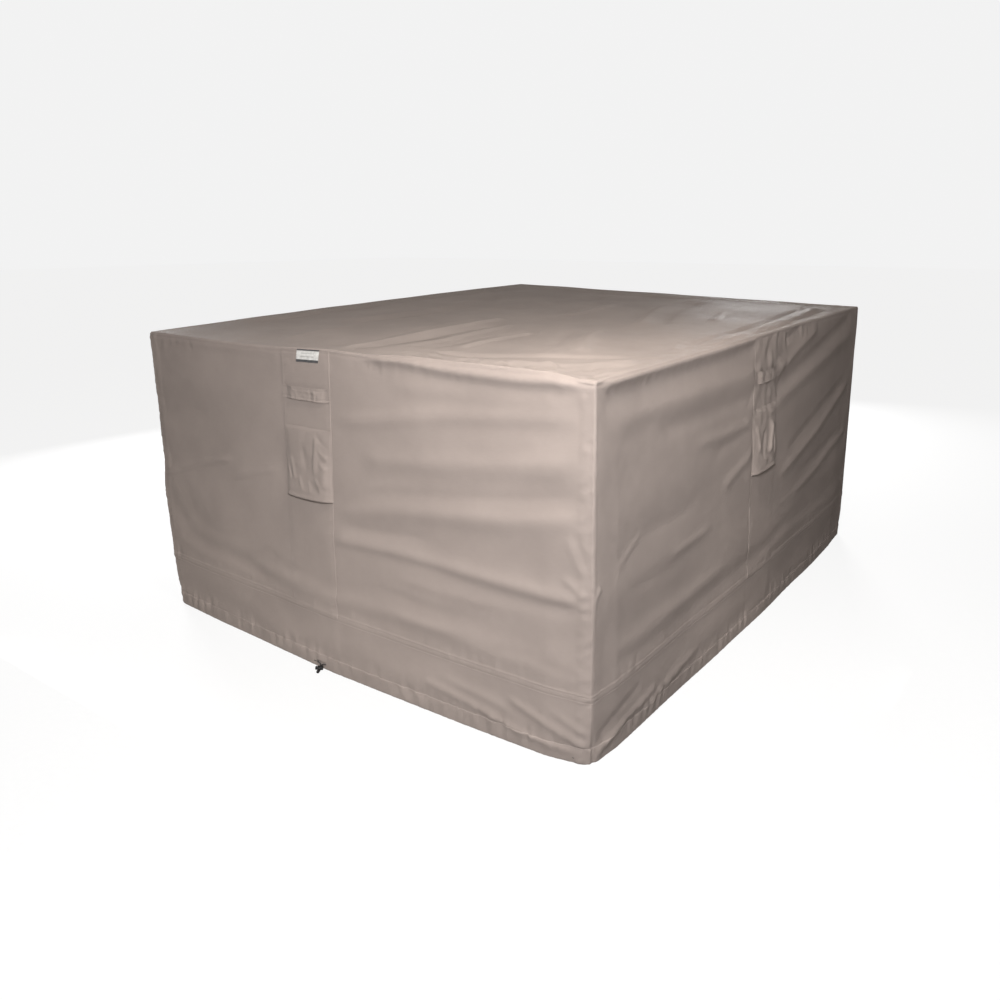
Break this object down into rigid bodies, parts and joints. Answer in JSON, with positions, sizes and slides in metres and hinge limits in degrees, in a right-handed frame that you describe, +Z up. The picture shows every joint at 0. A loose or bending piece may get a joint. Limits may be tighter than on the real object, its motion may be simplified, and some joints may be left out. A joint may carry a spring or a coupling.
{
  "type": "spa cover",
  "caption": "Fitted fabric cover for a rectangular spa, with a drawcord hem, hooded vents and grab straps on its walls.",
  "frame": {"origin": "on the ground, under the middle of the cover's plan", "axes": "+Z up; +Y from the labelled front wall to the back wall; +X to the right, seen from the front"},
  "size_m": [1.6794, 2.018, 0.955],
  "materials": {
    "cover_fabric": "coated woven polyester, taupe, matt with a soft sheen",
    "vent_net": "open knitted net, dark",
    "label_weave": "woven label, white with a dark edge",
    "black_cord": "braided cord, black",
    "black_plastic": "moulded plastic, black, matt",
    "spring_steel": "plain spring wire"
  },
  "bodies": {
    "root": {"top_panel": "cover_fabric", "front_panel": "cover_fabric", "right_panel": "cover_fabric", "back_panel": "cover_fabric", "left_panel": "cover_fabric", "front_band": "cover_fabric", "right_band": "cover_fabric", "back_band": "cover_fabric", "left_band": "cover_fabric", "front_hem_casing": "cover_fabric", "right_hem_casing": "cover_fabric", "back_hem_casing": "cover_fabric", "left_hem_casing": "cover_fabric", "front_strip": "cover_fabric", "right_strip": "cover_fabric", "back_strip": "cover_fabric", "left_strip": "cover_fabric", "front_vent_net": "vent_net", "right_vent_net": "vent_net", "back_vent_net": "vent_net", "left_vent_net": "vent_net", "sewn_label": "label_weave", "drawcord": "black_cord", "cord_end": "black_plastic"},
    "front_hood": {"front_vent_hood": "cover_fabric"},
    "right_hood": {"right_vent_hood": "cover_fabric"},
    "back_hood": {"back_vent_hood": "cover_fabric"},
    "left_hood": {"left_vent_hood": "cover_fabric"},
    "front_strap": {"front_grab_strap": "cover_fabric"},
    "right_strap": {"right_grab_strap": "cover_fabric"},
    "back_strap": {"back_grab_strap": "cover_fabric"},
    "left_strap": {"left_grab_strap": "cover_fabric"},
    "cord_lock": {"cord_lock_body": "black_plastic", "cord_lock_spring": "spring_steel"},
    "lock_plunger": {"cord_lock_plunger": "black_plastic"}
  },
  "joints": [
    {"name": "front_hood_lift", "type": "hinge", "parent": "root", "child": "front_hood", "pos_m": [-0.09, -0.96693, 0.68935], "axis": [-1, 0, 0], "range_deg": [0, 15]},
    {"name": "right_hood_lift", "type": "hinge", "parent": "root", "child": "right_hood", "pos_m": [0.8171, 0, 0.68988], "axis": [0, -1, 0], "range_deg": [0, 15]},
    {"name": "back_hood_lift", "type": "hinge", "parent": "root", "child": "back_hood", "pos_m": [-0.09, 0.96543, 0.68973], "axis": [1, 0, 0], "range_deg": [0, 15]},
    {"name": "left_hood_lift", "type": "hinge", "parent": "root", "child": "left_hood", "pos_m": [-0.81765, 0, 0.68989], "axis": [0, 1, 0], "range_deg": [0, 15]},
    {"name": "front_strap_pull", "type": "slide", "parent": "root", "child": "front_strap", "axis": [0, -0.9989, 0.0466], "range_m": [0, 0.025]},
    {"name": "right_strap_pull", "type": "slide", "parent": "root", "child": "right_strap", "axis": [0.9998, 0, 0.0217], "range_m": [0, 0.025]},
    {"name": "back_strap_pull", "type": "slide", "parent": "root", "child": "back_strap", "axis": [0, 0.9995, 0.0314], "range_m": [0, 0.025]},
    {"name": "left_strap_pull", "type": "slide", "parent": "root", "child": "left_strap", "axis": [-0.9998, 0, 0.0209], "range_m": [0, 0.025]},
    {"name": "cord_lock_slide", "type": "slide", "parent": "root", "child": "cord_lock", "axis": [0.5592, -0.829, 0], "range_m": [0, 0.003]},
    {"name": "lock_plunger_press", "type": "slide", "parent": "cord_lock", "child": "lock_plunger", "axis": [0.829, 0.5592, 0], "range_m": [0, 0.0025], "stiffness_N_per_m": 400, "springref_m": -0.004, "deforming": ["cord_lock_spring"]}
  ]
}
